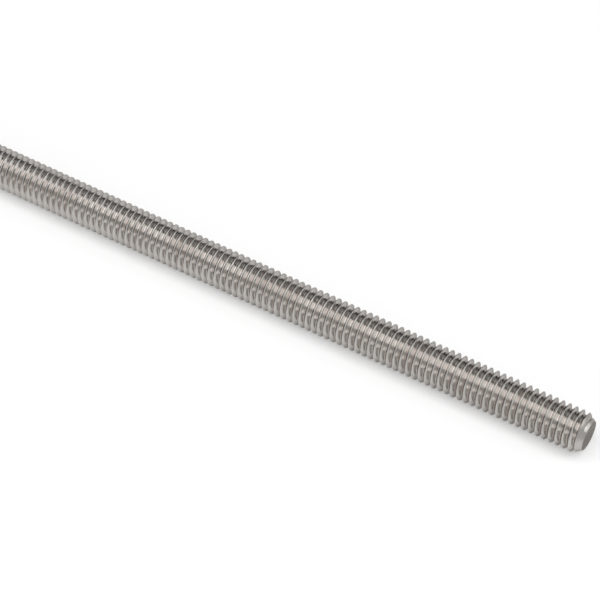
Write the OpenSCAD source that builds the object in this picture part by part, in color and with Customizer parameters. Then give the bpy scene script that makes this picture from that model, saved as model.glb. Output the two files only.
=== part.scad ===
// A length of fully threaded steel rod with a bevel on each end.
//
// The rod lies along X, with its middle at the origin. Its thread is drawn as
// level rings that have the true section and pitch of the screw thread, so
// that every crest, flank and root is an exact round surface on the rod's axis.
// All sizes are in millimetres and all angles are in degrees.

/* [Rod] */

// Diameter over the crests of the thread
thread_diameter = 9.525; // [6:0.005:16]

// Length from one end face to the other
rod_length = 304.8; // [60:0.1:400]

/* [Thread] */

// Distance along the rod from one crest to the next
thread_pitch = 1.5875; // [1:0.0005:2]

// Angle between the two flanks of a groove
groove_angle = 60; // [50:1:70]

// Width of the flat on each crest, as a share of the pitch
crest_share = 0.125; // [0.08:0.005:0.2]

// Radius of the round at the bottom of each groove, as a share of the pitch
root_share = 0.144; // [0.1:0.002:0.17]

/* [Ends] */

// How far the bevel takes the radius in below the crests at each end
bevel_depth = 1.4; // [0.6:0.05:2]

// Angle between the bevel and the rod's axis
bevel_angle = 35; // [30:1:60]

/* [Hidden] */

$fn = 48;

crest_radius = thread_diameter / 2;
half_length = rod_length / 2;

// A groove is a V with a flat crest on either side and a round root that
// touches both flanks.
half_angle = groove_angle / 2;
crest_width = crest_share * thread_pitch;
root_radius = root_share * thread_pitch;
v_depth = (thread_pitch - crest_width) / 2 / tan(half_angle);
root_center_radius = crest_radius - v_depth + root_radius / sin(half_angle);

// Each groove runs a little past the crests, so that it cuts them cleanly.
overcut = thread_pitch / 20;

// One groove starts half a pitch from the middle on either side, and the last
// ones clear the end faces.
grooves_per_side = ceil(half_length / thread_pitch);

bevel_length = bevel_depth / tan(bevel_angle);
end_face_radius = crest_radius - bevel_depth;

// Half of the blank's section, with the rod's axis as its left edge
module blank_section() {
    polygon([
        [0, -half_length],
        [end_face_radius, -half_length],
        [crest_radius, bevel_length - half_length],
        [crest_radius, half_length - bevel_length],
        [end_face_radius, half_length],
        [0, half_length],
    ]);
}

// One groove's section, level with the X axis
module groove_section() {
    // The round root touches each flank here.
    touch_radius = root_center_radius - root_radius * sin(half_angle);
    touch_half_width = root_radius * cos(half_angle);

    mouth_radius = crest_radius + overcut;
    mouth_half_width = (thread_pitch - crest_width) / 2 + overcut * tan(half_angle);

    polygon([
        [touch_radius, -touch_half_width],
        [mouth_radius, -mouth_half_width],
        [mouth_radius, mouth_half_width],
        [touch_radius, touch_half_width],
    ]);
    translate([root_center_radius, 0])
        circle(r = root_radius);
}

module thread_section() {
    difference() {
        blank_section();
        for (groove = [-grooves_per_side : grooves_per_side - 1])
            translate([0, (groove + 0.5) * thread_pitch])
                groove_section();
    }
}

module threaded_rod() {
    color("silver")
        rotate([0, 90, 0])
            rotate_extrude()
                thread_section();
}

threaded_rod();
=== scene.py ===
"""A fully threaded steel rod: its helical thread, its rolled finish, and a plain studio round it.

All lengths are in metres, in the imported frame: the rod lies along X with its middle at the origin.
"""

import math
from typing import NamedTuple

import bpy
from mathutils import Matrix, Vector


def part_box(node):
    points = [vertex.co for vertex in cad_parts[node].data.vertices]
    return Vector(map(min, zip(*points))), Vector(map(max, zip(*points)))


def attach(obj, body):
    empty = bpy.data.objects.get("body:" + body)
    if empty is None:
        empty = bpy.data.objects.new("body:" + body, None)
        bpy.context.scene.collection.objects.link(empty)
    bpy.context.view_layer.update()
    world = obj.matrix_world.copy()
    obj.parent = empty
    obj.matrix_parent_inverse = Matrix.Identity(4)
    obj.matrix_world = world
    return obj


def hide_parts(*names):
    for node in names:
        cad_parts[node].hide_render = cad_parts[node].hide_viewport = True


bl_info = {
    "name": "Threaded rod",
    "version": (1, 0, 0),
    "blender": (4, 5, 0),
    "location": "3D View > Sidebar > Rod",
    "description": "Builds a fully threaded steel rod and a plain studio round it",
    "category": "Object",
}

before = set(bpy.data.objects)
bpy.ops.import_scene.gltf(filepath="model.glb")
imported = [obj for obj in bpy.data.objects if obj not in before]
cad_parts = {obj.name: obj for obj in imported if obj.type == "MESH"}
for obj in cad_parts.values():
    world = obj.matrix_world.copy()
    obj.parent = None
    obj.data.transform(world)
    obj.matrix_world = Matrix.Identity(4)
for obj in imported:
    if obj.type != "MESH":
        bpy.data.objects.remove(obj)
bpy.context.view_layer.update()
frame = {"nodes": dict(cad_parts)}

(ROD_NODE,) = frame["nodes"]
ROD_LOW, ROD_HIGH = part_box(ROD_NODE)

# Rows of corners along one turn of the thread: the middle of the groove, then on each side of it
# the middle and the end of the round root, the two ends of the rounded crest corner, and the
# middle of the crest, which it shares with the next turn
ROWS_PER_TURN = 10
ROOT_END_ROW = 2
FLANK_END_ROW = 3
CREST_START_ROW = 4
CREST_MIDDLE_ROW = ROWS_PER_TURN / 2

# The thread is first made longer than the rod. What lies more than the kept turns past an end of
# the rod is drawn in to the axis, which closes it, and the blank then cuts it to length.
SPARE_TURNS = 4
SPARE_TURNS_KEPT = 1

# Corners that lie this close are one corner.
MERGE_DISTANCE = 1e-6

# The blank's outline has four points along the rod: an end and the start of a bevel at each side.
# They count from 0, and one that is more than a step from the middle of the row is an end.
BLANK_POINTS = 4
BLANK_MIDDLE = (BLANK_POINTS - 1) / 2
BLANK_ONE_STEP = 1.0
BLANK_CLEARANCE = 0.0002  # how much thicker than the crests it is, so that it leaves them whole

# An edge that turns by more than this stays sharp.
SHARP_EDGE = math.radians(40)

# Depths below the crests, as shares of the pitch
CREST_SKIN = 0.02  # where the dull crest ends
GROOVE_SKIN = 0.10  # where the burnished groove is reached
ROOT_START = 0.45  # where the bottom of the groove begins
ROOT_REACHED = 0.62  # where it is reached

# How near a point has to be to a bevel or an end face to count as on it
END_SKIN = 0.00003

# Noise wanders about this value.
NOISE_MIDDLE = 0.5

# Film, thin and dull, which stays here and there, and painted shade at the bottom of the grooves,
# in the film's colour. They start where the sum of patches, speckles and root is high enough.
PATCH_SIZE = 0.006
PATCH_LAYERS = 3.0  # finer layers of noise on the patches
PATCH_GRAIN = 0.6  # how strong each finer layer is
SPECKLE_SIZE = 0.0006
SPECKLE_LAYERS = 1.0
SPECKLE_SHARE = 0.4
# How much the bottom of the grooves adds, which paints shade there in the film's colour
ROOT_SHADE_SHARE = 0.35
STAIN_AND_SHADE_START = 0.56
STAIN_AND_SHADE_FULL = 1.04
STAIN_AND_SHADE_DULLNESS = 0.12  # how much duller it is than the steel
PATCH_DULLNESS = 0.20  # how much the patches change the dullness

# Marks that the rolling dies leave round the rod
DIE_MARK_LENGTH = 0.004
DIE_MARK_STRETCH = 60.0  # how much finer they are along the rod
DIE_MARK_GRAIN = 0.6
DIE_MARK_DEPTH = 0.000012
DIE_MARK_DULLNESS = 0.20  # how much they change the dullness

# Nicks in the crests from handling
NICK_SIZE = 0.0007
NICK_LAYERS = 0.0
NICK_RARITY = 0.64  # how high the noise has to be for a nick
NICK_EDGE = 0.06  # how soft its edge is
NICK_DEPTH = 0.00004

# The saw's marks on the end faces
SAW_MARK_LENGTH = 0.005
SAW_MARK_STRETCH = 25.0  # how much finer they are across their length
SAW_MARK_GRAIN = 0.7
SAW_MARK_LEAN = 0.3
SAW_MARK_DEPTH = 0.00005
FACE_COLOR_MOST = 1.4  # the most of the face's own colour, cut off at 1
FACE_COLOR_SPREAD = 1.0  # how much the marks take from it

BUMP_STRENGTH = 0.6  # how strongly all the marks tilt the surface
EDGE_TINT = (0.50, 0.48, 0.47)  # the tint of the steel's reflections at a grazing angle

# Places of the sockets of a Mix node and of a Mix Shader node, where several share a name
MIX_SHARE = 0
COLOR_A = 6
COLOR_B = 7
COLOR_RESULT = 2
SHADER_A = 1
SHADER_B = 2


class Number:
    """A number that a node gives. A sum on it is written as a sum, and adds its own Math nodes."""

    def __init__(self, nodes, socket):
        self.nodes = nodes
        self.socket = socket

    def __add__(self, other):
        return self.nodes.math("ADD", self, other)

    def __radd__(self, other):
        return self.nodes.math("ADD", other, self)

    def __sub__(self, other):
        return self.nodes.math("SUBTRACT", self, other)

    def __rsub__(self, other):
        return self.nodes.math("SUBTRACT", other, self)

    def __mul__(self, other):
        return self.nodes.math("MULTIPLY", self, other)

    def __rmul__(self, other):
        return self.nodes.math("MULTIPLY", other, self)

    def __truediv__(self, other):
        return self.nodes.math("DIVIDE", self, other)

    def __rtruediv__(self, other):
        return self.nodes.math("DIVIDE", other, self)

    def __gt__(self, other):
        return self.nodes.math("GREATER_THAN", self, other)

    def __lt__(self, other):
        return self.nodes.math("LESS_THAN", self, other)

    def __neg__(self):
        return self.nodes.math("MULTIPLY", self, -1.0)

    def __abs__(self):
        return self.nodes.math("ABSOLUTE", self)


class Nodes:
    """Adds nodes to one node tree, of geometry or of a material."""

    def __init__(self, tree):
        self.tree = tree

    def add(self, kind, settings=None, sockets=None):
        """A new node of that kind, with its settings and then its sockets' values or links."""
        node = self.tree.nodes.new(kind)
        for name, value in (settings or {}).items():
            setattr(node, name, value)
        for name, value in (sockets or {}).items():
            self.feed(node.inputs[name], value)
        return node

    def feed(self, socket, value):
        """Links a socket to a number or to a node's socket, or gives it a plain value."""
        if isinstance(value, Number):
            value = value.socket
        if isinstance(value, bpy.types.NodeSocket):
            self.tree.links.new(value, socket)
        else:
            socket.default_value = value

    def number(self, socket):
        """A socket's value as a number."""
        return Number(self, socket)

    def math(self, operation, *values):
        """The number that a Math node works out from others."""
        node = self.add("ShaderNodeMath", {"operation": operation}, dict(enumerate(values)))
        return Number(self, node.outputs[0])

    def ramp(self, value, low, high, smooth=False):
        """A number that runs from 0 to 1 while another runs from low to high."""
        settings = {"interpolation_type": "SMOOTHSTEP" if smooth else "LINEAR", "clamp": True}
        sockets = {"Value": value, "From Min": low, "From Max": high}
        return Number(self, self.add("ShaderNodeMapRange", settings, sockets).outputs["Result"])

    def noise(self, place, size, layers=2.0, grain=0.5):
        """A random number in soft patches of about that size, with finer layers on them."""
        sockets = {"Vector": place, "Scale": 1 / size, "Detail": layers, "Roughness": grain}
        return Number(self, self.add("ShaderNodeTexNoise", sockets=sockets).outputs["Fac"])

    def mix_colors(self, share, first, second):
        """The first colour where the share is 0, and the second where it is 1."""
        sockets = {MIX_SHARE: share, COLOR_A: first, COLOR_B: second}
        return self.add("ShaderNodeMix", {"data_type": "RGBA"}, sockets).outputs[COLOR_RESULT]

    def split(self, vector):
        """The three numbers of a vector."""
        node = self.add("ShaderNodeSeparateXYZ", sockets={"Vector": vector})
        return [Number(self, node.outputs[axis]) for axis in "XYZ"]

    def join(self, x, y, z):
        """A vector of three numbers."""
        return self.add("ShaderNodeCombineXYZ", sockets={"X": x, "Y": y, "Z": z}).outputs["Vector"]


# ---------------------------------------------------------------- sizes and colours


class ThreadedRodSettings(bpy.types.PropertyGroup):
    """Sizes of the rod and its thread."""

    length: bpy.props.FloatProperty(
        name="Length",
        description="From one end face to the other",
        default=ROD_HIGH.x - ROD_LOW.x,
        min=0.02,
        precision=5,
        unit="LENGTH",
        subtype="DISTANCE",
    )
    crest_radius: bpy.props.FloatProperty(
        name="Crest radius",
        description="From the rod's axis to the crests of the thread",
        default=ROD_HIGH.z,
        min=0.001,
        precision=5,
        unit="LENGTH",
        subtype="DISTANCE",
    )
    pitch: bpy.props.FloatProperty(
        name="Pitch",
        description="Distance along the rod from one turn of the thread to the next",
        default=0.0015875,
        min=0.0004,
        precision=6,
        unit="LENGTH",
        subtype="DISTANCE",
    )
    groove_angle: bpy.props.FloatProperty(
        name="Groove angle",
        description="Angle between the two flanks of the groove",
        default=math.radians(60),
        min=math.radians(40),
        max=math.radians(80),
        unit="ROTATION",
        subtype="ANGLE",
    )
    crest_share: bpy.props.FloatProperty(
        name="Crest share",
        description="Width of the flat crest, as a share of the pitch",
        default=0.125,
        min=0.05,
        max=0.25,
        subtype="FACTOR",
    )
    root_share: bpy.props.FloatProperty(
        name="Root share",
        description="Radius of the round root, as a share of the pitch",
        default=0.144,
        min=0.05,
        max=0.17,
        subtype="FACTOR",
    )
    corner_share: bpy.props.FloatProperty(
        name="Corner share",
        description="Reach of a crest corner's rounding to either side, as a share of the pitch",
        default=0.035,
        min=0.005,
        max=0.04,
        subtype="FACTOR",
    )
    bevel_depth: bpy.props.FloatProperty(
        name="Bevel depth",
        description="How far the bevel takes the radius in below the crests at each end",
        default=0.0014,
        min=0.0002,
        precision=5,
        unit="LENGTH",
        subtype="DISTANCE",
    )
    bevel_angle: bpy.props.FloatProperty(
        name="Bevel angle",
        description="Angle between the bevel and the rod's axis",
        default=math.radians(35),
        min=math.radians(20),
        max=math.radians(70),
        unit="ROTATION",
        subtype="ANGLE",
    )
    start_angle: bpy.props.FloatProperty(
        name="Start angle",
        description="Turns the whole thread about the rod's axis",
        default=math.radians(240),
        unit="ROTATION",
        subtype="ANGLE",
    )
    steps_round: bpy.props.IntProperty(
        name="Steps round",
        description="Flat facets round one turn of the thread",
        default=48,
        min=12,
        max=50,
    )
    bevel_steps: bpy.props.IntProperty(
        name="Bevel steps",
        description="Flat facets round the bevel of each end",
        default=144,
        min=24,
        max=256,
    )


class SteelSettings(bpy.types.PropertyGroup):
    """Colours and finish of the rolled steel."""

    crest_color: bpy.props.FloatVectorProperty(
        name="Crest colour",
        description="Colour of the steel on the crests of the thread",
        default=(0.545, 0.529, 0.510),
        size=3,
        min=0.0,
        max=1.0,
        subtype="COLOR",
    )
    # A little darker than the crest colour, which paints some shade into the grooves
    groove_color: bpy.props.FloatVectorProperty(
        name="Groove colour",
        description="Colour of the steel on the flanks and at the bottom of the grooves",
        default=(0.495, 0.474, 0.453),
        size=3,
        min=0.0,
        max=1.0,
        subtype="COLOR",
    )
    # The film's colour also paints shade at the bottom of the grooves.
    stain_and_shade_color: bpy.props.FloatVectorProperty(
        name="Stain colour",
        description="Colour of the thin dull film left here and there in the grooves",
        default=(0.366, 0.317, 0.296),
        size=3,
        min=0.0,
        max=1.0,
        subtype="COLOR",
    )
    face_color: bpy.props.FloatVectorProperty(
        name="End face colour",
        description="Colour of the sawn end faces",
        default=(0.255, 0.240, 0.225),
        size=3,
        min=0.0,
        max=1.0,
        subtype="COLOR",
    )
    crest_roughness: bpy.props.FloatProperty(
        name="Crest roughness",
        description="How dull the crests are, which the dies leave free",
        default=0.48,
        min=0.0,
        max=1.0,
        subtype="FACTOR",
    )
    groove_roughness: bpy.props.FloatProperty(
        name="Groove roughness",
        description="How dull the grooves are, which the dies burnish",
        default=0.19,
        min=0.0,
        max=1.0,
        subtype="FACTOR",
    )
    bevel_roughness: bpy.props.FloatProperty(
        name="Bevel roughness",
        description="How dull the turned bevels are",
        default=0.42,
        min=0.0,
        max=1.0,
        subtype="FACTOR",
    )
    face_roughness: bpy.props.FloatProperty(
        name="End face roughness",
        description="How dull the sawn end faces are",
        default=0.55,
        min=0.0,
        max=1.0,
        subtype="FACTOR",
    )


class StudioSettings(bpy.types.PropertyGroup):
    """The floor, the lights and the camera."""

    floor_color: bpy.props.FloatVectorProperty(
        name="Floor colour",
        description="Colour of the floor",
        default=(0.90, 0.90, 0.90),
        size=3,
        min=0.0,
        max=1.0,
        subtype="COLOR",
    )
    floor_white: bpy.props.FloatProperty(
        name="Floor white",
        description="Share of plain white in the floor as it is seen, which lightens shadows",
        default=0.30,
        min=0.0,
        max=1.0,
        subtype="FACTOR",
    )
    room_level: bpy.props.FloatProperty(
        name="Room level",
        description="Brightness of the room round the lamps, where 1 is white",
        default=0.08,
        min=0.0,
    )
    lens: bpy.props.FloatProperty(
        name="Lens",
        description="Focal length of the camera's lens, in millimetres",
        default=149.03,
        min=20.0,
    )
    camera_distance: bpy.props.FloatProperty(
        name="Camera distance",
        description="From the camera to the point it aims at",
        default=0.5531,
        min=0.05,
        unit="LENGTH",
        subtype="DISTANCE",
    )
    camera_elevation: bpy.props.FloatProperty(
        name="Camera elevation",
        description="Angle of the camera above the floor",
        default=math.radians(50.62),
        unit="ROTATION",
        subtype="ANGLE",
    )
    camera_turn: bpy.props.FloatProperty(
        name="Camera turn",
        description="How far the camera stands round towards the near end of the rod",
        default=math.radians(30.60),
        unit="ROTATION",
        subtype="ANGLE",
    )
    aim_from_end: bpy.props.FloatProperty(
        name="Aim from end",
        description="How far from the near end of the rod the camera aims",
        default=0.07176,
        unit="LENGTH",
        subtype="DISTANCE",
    )
    aim_height: bpy.props.FloatProperty(
        name="Aim height",
        description="How far above the rod's axis the camera aims",
        default=0.0013,
        unit="LENGTH",
        subtype="DISTANCE",
    )


# ---------------------------------------------------------------- the rod


# The named inputs of the rod's geometry tree, and the size that each takes its value from
ROD_INPUTS = {
    "Length": "length",
    "Crest radius": "crest_radius",
    "Pitch": "pitch",
    "Groove angle": "groove_angle",
    "Crest share": "crest_share",
    "Root share": "root_share",
    "Corner share": "corner_share",
    "Bevel depth": "bevel_depth",
    "Bevel angle": "bevel_angle",
    "Start angle": "start_angle",
    "Thread steps": "steps_round",
    "Bevel steps": "bevel_steps",
}


def new_object(context, name, data):
    """A new object in the scene."""
    new = bpy.data.objects.new(name, data)
    context.scene.collection.objects.link(new)
    return new


def add_inputs(tree, names):
    """Gives a geometry tree its geometry sockets and number inputs, and returns the inputs' ids."""
    for side in ("INPUT", "OUTPUT"):
        tree.interface.new_socket(name="Geometry", in_out=side, socket_type="NodeSocketGeometry")
    identifiers = {}
    for name in names:
        kind = "NodeSocketInt" if name.endswith("steps") else "NodeSocketFloat"
        socket = tree.interface.new_socket(name=name, in_out="INPUT", socket_type=kind)
        identifiers[name] = socket.identifier
    return identifiers


def weld(nodes, geometry):
    """The geometry with the corners that lie together made one."""
    sockets = {"Geometry": geometry, "Distance": MERGE_DISTANCE}
    return nodes.add("GeometryNodeMergeByDistance", sockets=sockets).outputs["Geometry"]


def helical_thread(nodes, sizes):
    """The thread as one closed mesh, longer than the rod: a grid rolled into a tube, with each row
    of its corners on a helix."""
    turns = nodes.math("CEIL", sizes["Length"] / sizes["Pitch"]) + SPARE_TURNS
    rows = turns * ROWS_PER_TURN
    grid = nodes.add(
        "GeometryNodeMeshGrid",
        sockets={
            "Size X": 1.0,
            "Size Y": rows,
            "Vertices X": sizes["Thread steps"] + 1,
            "Vertices Y": rows + 1,
        },
    )
    share_of_turn, row, _ = nodes.split(nodes.add("GeometryNodeInputPosition").outputs["Position"])

    # A row's place in its own turn runs from one crest's middle, past the groove's middle at 0,
    # to the next crest's middle.
    place = nodes.math("WRAP", row, CREST_MIDDLE_ROW, -CREST_MIDDLE_ROW)
    turn = (row - place) / ROWS_PER_TURN
    steps = abs(place)

    # Distance along the rod from the groove's middle
    half_angle_tan = nodes.math("TANGENT", sizes["Groove angle"] / 2)
    half_angle_sin = nodes.math("SINE", sizes["Groove angle"] / 2)
    root_radius = sizes["Root share"] * sizes["Pitch"]
    root_half_width = root_radius * nodes.math("COSINE", sizes["Groove angle"] / 2)
    groove_half_width = sizes["Pitch"] * (1 - sizes["Crest share"]) / 2
    corner = sizes["Corner share"] * sizes["Pitch"]
    flank_end = groove_half_width - corner
    crest_start = groove_half_width + corner
    distance = (
        root_half_width * nodes.ramp(steps, 0, ROOT_END_ROW)
        + (flank_end - root_half_width) * nodes.ramp(steps, ROOT_END_ROW, FLANK_END_ROW)
        + (crest_start - flank_end) * nodes.ramp(steps, FLANK_END_ROW, CREST_START_ROW)
        + (sizes["Pitch"] / 2 - crest_start) * nodes.ramp(steps, CREST_START_ROW, CREST_MIDDLE_ROW)
    )

    # Distance from the rod's axis: the flank, or the round root below it, and at most the crest
    sharp_bottom = sizes["Crest radius"] - groove_half_width / half_angle_tan
    flank = sharp_bottom + distance / half_angle_tan
    root_center = sharp_bottom + root_radius / half_angle_sin
    root = root_center - nodes.math("SQRT", root_radius * root_radius - distance * distance)
    in_root = steps < (ROOT_END_ROW + FLANK_END_ROW) / 2
    surface = nodes.math("MINIMUM", sizes["Crest radius"], in_root * root + (1 - in_root) * flank)

    along = (turn + share_of_turn) * sizes["Pitch"] + nodes.math("SIGN", place) * distance
    reach = sizes["Length"] / 2 + SPARE_TURNS_KEPT * sizes["Pitch"]
    radius = surface * (abs(along) < reach)
    angle = share_of_turn * math.tau + sizes["Start angle"]
    position = nodes.join(
        nodes.math("MAXIMUM", -reach, nodes.math("MINIMUM", reach, along)),
        radius * nodes.math("COSINE", angle),
        radius * nodes.math("SINE", angle),
    )
    rolled = nodes.add(
        "GeometryNodeSetPosition", sockets={"Geometry": grid.outputs["Mesh"], "Position": position}
    )
    # The rolled grid meets itself one pitch on, and its ends, drawn in to the axis, close it.
    return weld(nodes, rolled.outputs["Geometry"])


def bevelled_blank(nodes, sizes):
    """A bevelled bar, a little thicker than the crests, that cuts the thread to length."""
    line = nodes.add("GeometryNodeMeshLine", sockets={"Count": BLANK_POINTS})
    place = nodes.number(nodes.add("GeometryNodeInputIndex").outputs["Index"]) - BLANK_MIDDLE
    side = nodes.math("SIGN", place)
    at_end = abs(place) > BLANK_ONE_STEP
    bevel_rise = sizes["Bevel depth"] + BLANK_CLEARANCE
    bevel_length = bevel_rise / nodes.math("TANGENT", sizes["Bevel angle"])
    along = side * (sizes["Length"] / 2 - bevel_length * (1 - at_end))
    radius = sizes["Crest radius"] + BLANK_CLEARANCE - bevel_rise * at_end
    placed = nodes.add(
        "GeometryNodeSetPosition",
        sockets={"Geometry": line.outputs["Mesh"], "Position": nodes.join(along, 0.0, 0.0)},
    )
    path = nodes.add("GeometryNodeMeshToCurve", sockets={"Mesh": placed.outputs["Geometry"]})
    ring = nodes.add(
        "GeometryNodeCurvePrimitiveCircle",
        sockets={"Resolution": sizes["Bevel steps"], "Radius": 1.0},
    )
    sweep = nodes.add(
        "GeometryNodeCurveToMesh",
        sockets={
            "Curve": path.outputs["Curve"],
            "Profile Curve": ring.outputs["Curve"],
            "Scale": radius,
            "Fill Caps": True,
        },
    )
    return sweep.outputs["Mesh"]


def threaded_rod_tree(material):
    """The geometry tree of the rod, and the ids of its named inputs."""
    tree = bpy.data.node_groups.new("Threaded rod", "GeometryNodeTree")
    identifiers = add_inputs(tree, ROD_INPUTS)
    nodes = Nodes(tree)
    group_input = nodes.add("NodeGroupInput")
    sizes = {name: nodes.number(group_input.outputs[name]) for name in ROD_INPUTS}

    cut = nodes.add("GeometryNodeMeshBoolean", {"operation": "INTERSECT", "solver": "MANIFOLD"})
    nodes.feed(cut.inputs["Mesh 2"], helical_thread(nodes, sizes))
    nodes.feed(cut.inputs["Mesh 2"], bevelled_blank(nodes, sizes))

    # Where facets of the blank and of the thread line up, the cut leaves two corners in one place.
    welded = weld(nodes, cut.outputs["Mesh"])

    smooth = nodes.add("GeometryNodeSetShadeSmooth", {"domain": "FACE"}, {"Geometry": welded})
    edge_angle = nodes.number(nodes.add("GeometryNodeInputMeshEdgeAngle").outputs["Unsigned Angle"])
    creased = nodes.add(
        "GeometryNodeSetShadeSmooth",
        {"domain": "EDGE"},
        {
            "Geometry": smooth.outputs["Geometry"],
            "Selection": edge_angle > SHARP_EDGE,
            "Shade Smooth": False,
        },
    )
    real = nodes.add(
        "GeometryNodeRealizeInstances", sockets={"Geometry": creased.outputs["Geometry"]}
    )
    painted = nodes.add(
        "GeometryNodeSetMaterial",
        sockets={"Geometry": real.outputs["Geometry"], "Material": material},
    )
    nodes.add("NodeGroupOutput", sockets={"Geometry": painted.outputs["Geometry"]})
    return tree, identifiers


def opaque(color):
    """A colour with its alpha, as a socket takes it."""
    return (*color, 1.0)


def new_material(name):
    """A material with an empty node tree, and the maker of its nodes."""
    material = bpy.data.materials.new(name)
    material.use_nodes = True
    material.node_tree.nodes.clear()
    return material, Nodes(material.node_tree)


def rolled_steel(steel, sizes):
    """Bare rolled steel. The dies burnish the grooves and leave the crests duller, a film stays
    here and there, shade is painted in the film's colour at the bottom of the grooves and a little
    in the darker colour of the grooves, the bevels are turned and the end faces sawn."""
    material, nodes = new_material("rolled_steel")
    place = nodes.add("ShaderNodeTexCoord").outputs["Object"]
    x, y, z = nodes.split(place)
    radius = nodes.math("SQRT", y * y + z * z)
    along = abs(x)

    # Which surface it is: each is 1 there and 0 elsewhere
    depth = (sizes.crest_radius - radius) / sizes.pitch
    in_groove = nodes.ramp(depth, CREST_SKIN, GROOVE_SKIN, smooth=True)
    at_root = nodes.ramp(depth, ROOT_START, ROOT_REACHED, smooth=True)
    half_length = sizes.length / 2
    bevel_slope = math.tan(sizes.bevel_angle)
    face_radius = sizes.crest_radius - sizes.bevel_depth
    on_bevel = along > half_length - END_SKIN - (radius - face_radius) / bevel_slope
    on_face = along > half_length - END_SKIN

    # Patterns: patches and speckles of film, the dies' marks, nicks from handling, the saw's marks
    patch = nodes.noise(place, PATCH_SIZE, PATCH_LAYERS, PATCH_GRAIN)
    speckle = nodes.noise(place, SPECKLE_SIZE, SPECKLE_LAYERS)
    mark_place = nodes.join(x * DIE_MARK_STRETCH, y, z)
    mark = nodes.noise(mark_place, DIE_MARK_LENGTH, grain=DIE_MARK_GRAIN)
    dent = nodes.noise(place, NICK_SIZE, NICK_LAYERS)
    nick = nodes.ramp(dent, NICK_RARITY, NICK_RARITY + NICK_EDGE)
    saw_place = nodes.join(x, y + z * SAW_MARK_LEAN, z * SAW_MARK_STRETCH)
    sawn = nodes.noise(saw_place, SAW_MARK_LENGTH, grain=SAW_MARK_GRAIN)
    # The bottom of the grooves adds to the sum, so the film's colour paints shade there as well as
    # stains
    stain_and_shade_sum = at_root * ROOT_SHADE_SHARE + patch + (speckle - NOISE_MIDDLE) * SPECKLE_SHARE
    stain_and_root_shade = nodes.ramp(stain_and_shade_sum, STAIN_AND_SHADE_START, STAIN_AND_SHADE_FULL, smooth=True) * (1 - on_bevel)

    # Colour. The film's colour paints shade at the bottom of the grooves, besides the stains here
    # and there.
    # The groove colour is a little darker than the crest colour, which paints some shade into the
    # grooves.
    metal = nodes.mix_colors(in_groove, opaque(steel.crest_color), opaque(steel.groove_color))
    stained_and_shaded = nodes.mix_colors(stain_and_root_shade, metal, opaque(steel.stain_and_shade_color))
    face_share = on_face * (FACE_COLOR_MOST - sawn * FACE_COLOR_SPREAD)
    color = nodes.mix_colors(face_share, stained_and_shaded, opaque(steel.face_color))

    # Dullness
    rolled = steel.crest_roughness + in_groove * (steel.groove_roughness - steel.crest_roughness)
    cut = steel.bevel_roughness + on_face * (steel.face_roughness - steel.bevel_roughness)
    uneven = (mark - NOISE_MIDDLE) * DIE_MARK_DULLNESS + (patch - NOISE_MIDDLE) * PATCH_DULLNESS
    roughness = (1 - on_bevel) * rolled + on_bevel * cut + stain_and_root_shade * STAIN_AND_SHADE_DULLNESS + uneven

    # Height of the marks, in metres
    rolled_height = mark * DIE_MARK_DEPTH - nick * (1 - in_groove) * NICK_DEPTH
    height = (1 - on_face) * rolled_height + on_face * sawn * SAW_MARK_DEPTH
    bump = nodes.add(
        "ShaderNodeBump",
        sockets={"Strength": BUMP_STRENGTH, "Distance": 1.0, "Height": height},
    )
    shader = nodes.add(
        "ShaderNodeBsdfPrincipled",
        sockets={
            "Base Color": color,
            "Metallic": 1.0,
            "Specular Tint": opaque(EDGE_TINT),
            "Roughness": roughness,
            "Normal": bump.outputs["Normal"],
        },
    )
    nodes.add("ShaderNodeOutputMaterial", sockets={"Surface": shader.outputs["BSDF"]})
    return material


class RODSCENE_OT_threaded_rod(bpy.types.Operator):
    """Build the rod with its helical thread and bevelled ends"""

    bl_idname = "rodscene.threaded_rod"
    bl_label = "Threaded rod"
    bl_options = {"REGISTER", "UNDO"}

    def execute(self, context):
        sizes = context.scene.threaded_rod
        material = rolled_steel(context.scene.rolled_steel, sizes)
        tree, identifiers = threaded_rod_tree(material)
        holder = new_object(context, "rod_holder", bpy.data.meshes.new("rod_holder"))
        modifier = holder.modifiers.new("Threaded rod", "NODES")
        modifier.node_group = tree
        for name, size in ROD_INPUTS.items():
            modifier[identifiers[name]] = getattr(sizes, size)
        evaluated = holder.evaluated_get(context.evaluated_depsgraph_get())
        mesh = bpy.data.meshes.new_from_object(evaluated)
        if not mesh.polygons:
            raise RuntimeError("The thread and the blank left nothing where they cross.")
        mesh.name = "helical_rod"
        rod = new_object(context, "helical_rod", mesh)
        bpy.data.objects.remove(holder)
        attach(rod, "root")
        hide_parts(ROD_NODE)
        return {"FINISHED"}


# ---------------------------------------------------------------- the studio


# The floor's width, how dull it is, and the strength at which it is seen as plain white
FLOOR_SIZE = 12.0
FLOOR_ROUGHNESS = 0.9
PLAIN_WHITE = 1.0

# The camera's sensor in millimetres, and the nearest and the farthest that it sees
SENSOR_WIDTH = 36.0
NEAREST_SEEN = 0.01
FARTHEST_SEEN = 50.0


class Softbox(NamedTuple):
    """A soft lamp: its place round the rod and above the floor in degrees, its distance and size in
    metres, and its brightness, where 1 is seen as plain white."""

    name: str
    azimuth: float
    elevation: float
    distance: float
    width: float
    height: float
    brightness: float


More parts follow.
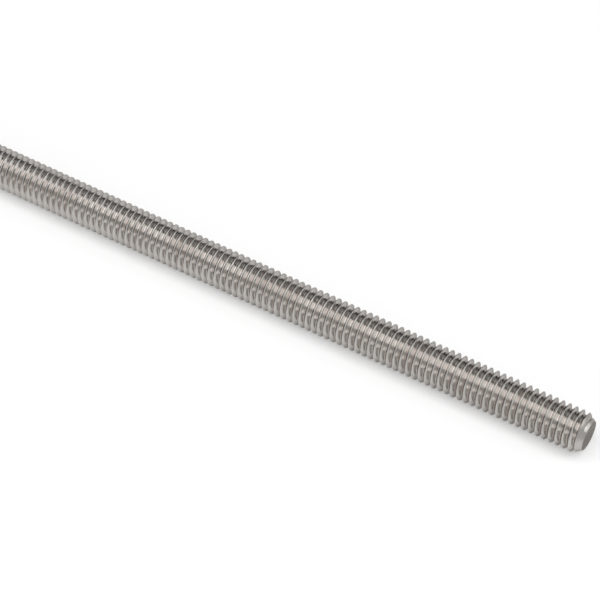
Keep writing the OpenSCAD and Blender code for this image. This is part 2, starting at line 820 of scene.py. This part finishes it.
SOFTBOXES = (
    Softbox(
        name="overhead_softbox",
        azimuth=0,
        elevation=81.5,
        distance=1.2,
        width=2.4,
        height=1.04,
        brightness=2.4,
    ),
    Softbox(
        name="front_softbox",
        azimuth=0,
        elevation=17.5,
        distance=1.5,
        width=1.1,
        height=0.66,
        brightness=2.4,
    ),
    Softbox(
        name="front_fill",
        azimuth=0,
        elevation=45,
        distance=1.6,
        width=1.2,
        height=0.8,
        brightness=0.88,
    ),
    Softbox(
        name="back_fill",
        azimuth=180,
        elevation=42,
        distance=1.6,
        width=1.0,
        height=1.2,
        brightness=0.55,
    ),
    Softbox(
        name="end_softbox",
        azimuth=124,
        elevation=36,
        distance=1.5,
        width=1.2,
        height=0.9,
        brightness=1.9,
    ),
    Softbox(
        name="end_fill",
        azimuth=55,
        elevation=22,
        distance=1.5,
        width=0.8,
        height=0.6,
        brightness=0.78,
    ),
)


def facing(direction):
    """A rotation that points an object's own -Z along a direction and keeps its own Y upright."""
    return direction.to_track_quat("-Z", "Y").to_matrix().to_4x4()


def direction_to(azimuth, elevation):
    """The direction from the rod to a place round it. Azimuth 0 is in front, at -Y, and a quarter
    turn is at +X."""
    return Vector(
        (
            math.sin(azimuth) * math.cos(elevation),
            -math.cos(azimuth) * math.cos(elevation),
            math.sin(elevation),
        )
    )


def add_softbox(context, softbox):
    """A rectangular lamp turned to the rod's middle."""
    away = direction_to(math.radians(softbox.azimuth), math.radians(softbox.elevation))
    lamp = bpy.data.lights.new(softbox.name, "AREA")
    lamp.shape = "RECTANGLE"
    lamp.size = softbox.width
    lamp.size_y = softbox.height
    lamp.energy = softbox.brightness * math.pi * softbox.width * softbox.height
    holder = new_object(context, softbox.name, lamp)
    holder.matrix_world = Matrix.Translation(away * softbox.distance) @ facing(-away)


def studio_floor(context, settings):
    """The plain pale floor that the rod lies on."""
    half = FLOOR_SIZE / 2
    corners = [(-half, -half), (half, -half), (half, half), (-half, half)]
    mesh = bpy.data.meshes.new("floor")
    mesh.from_pydata([(x, y, ROD_LOW.z) for x, y in corners], [], [(0, 1, 2, 3)])
    material, nodes = new_material("floor_paint")
    paint = nodes.add(
        "ShaderNodeBsdfPrincipled",
        sockets={
            "Base Color": opaque(settings.floor_color),
            "Roughness": FLOOR_ROUGHNESS,
            "Specular IOR Level": 0.0,
        },
    )
    white = nodes.add("ShaderNodeEmission", sockets={"Strength": PLAIN_WHITE})

    # The white is only for the floor as it is seen, also in the metal, and lights nothing else.
    ray = nodes.add("ShaderNodeLightPath")
    seen = nodes.number(ray.outputs["Is Camera Ray"])
    for kind in ("Is Glossy Ray", "Is Transmission Ray"):
        seen = nodes.math("MAXIMUM", seen, nodes.number(ray.outputs[kind]))
    mixed = nodes.add(
        "ShaderNodeMixShader",
        sockets={
            MIX_SHARE: seen * settings.floor_white,
            SHADER_A: paint.outputs["BSDF"],
            SHADER_B: white.outputs["Emission"],
        },
    )
    nodes.add("ShaderNodeOutputMaterial", sockets={"Surface": mixed.outputs["Shader"]})
    mesh.materials.append(material)
    floor = new_object(context, "studio_floor", mesh)


def studio_world(context, settings):
    """The dim room round the lamps."""
    world = bpy.data.worlds.new("studio_world")
    context.scene.world = world
    world.use_nodes = True
    world.node_tree.nodes.clear()
    nodes = Nodes(world.node_tree)
    background = nodes.add("ShaderNodeBackground", sockets={"Strength": settings.room_level})
    nodes.add("ShaderNodeOutputWorld", sockets={"Surface": background.outputs["Background"]})


def studio_camera(context, settings):
    """The camera, aimed at a point towards the rod's near end, the one at +X."""
    camera_data = bpy.data.cameras.new("studio_camera")
    camera_data.lens = settings.lens
    camera_data.sensor_width = SENSOR_WIDTH
    camera_data.clip_start = NEAREST_SEEN
    camera_data.clip_end = FARTHEST_SEEN
    aim = Vector((ROD_HIGH.x - settings.aim_from_end, 0.0, settings.aim_height))
    away = direction_to(settings.camera_turn, settings.camera_elevation)
    camera = new_object(context, "studio_camera", camera_data)
    camera.matrix_world = Matrix.Translation(aim + away * settings.camera_distance) @ facing(-away)
    context.scene.camera = camera


class RODSCENE_OT_studio(bpy.types.Operator):
    """Set up the floor, the soft lights and the camera"""

    bl_idname = "rodscene.studio"
    bl_label = "Studio"
    bl_options = {"REGISTER", "UNDO"}

    def execute(self, context):
        settings = context.scene.rod_studio
        context.scene.view_settings.view_transform = "Standard"
        studio_floor(context, settings)
        studio_world(context, settings)
        for softbox in SOFTBOXES:
            add_softbox(context, softbox)
        studio_camera(context, settings)
        return {"FINISHED"}


class RODSCENE_PT_rod(bpy.types.Panel):
    """Lists the rod's sizes, its finish and the studio."""

    bl_idname = "RODSCENE_PT_rod"
    bl_label = "Threaded rod"
    bl_space_type = "VIEW_3D"
    bl_region_type = "UI"
    bl_category = "Rod"

    def draw(self, context):
        for title, settings, operator in PANEL_PARTS:
            box = self.layout.box()
            box.label(text=title)
            group = getattr(context.scene, settings)
            for name in group.__annotations__:
                box.prop(group, name)
            if operator:
                box.operator(operator)


PANEL_PARTS = (
    ("Rod", "threaded_rod", None),
    ("Steel", "rolled_steel", RODSCENE_OT_threaded_rod.bl_idname),
    ("Studio", "rod_studio", RODSCENE_OT_studio.bl_idname),
)
SETTINGS = {
    "threaded_rod": ThreadedRodSettings,
    "rolled_steel": SteelSettings,
    "rod_studio": StudioSettings,
}
CLASSES = (*SETTINGS.values(), RODSCENE_OT_threaded_rod, RODSCENE_OT_studio, RODSCENE_PT_rod)


def register():
    for cls in CLASSES:
        bpy.utils.register_class(cls)
    for name, group in SETTINGS.items():
        setattr(bpy.types.Scene, name, bpy.props.PointerProperty(type=group))


def unregister():
    for name in SETTINGS:
        delattr(bpy.types.Scene, name)
    for cls in reversed(CLASSES):
        bpy.utils.unregister_class(cls)


def main():
    register()
    bpy.ops.rodscene.threaded_rod()
    bpy.ops.rodscene.studio()


if __name__ == "__main__":
    main()
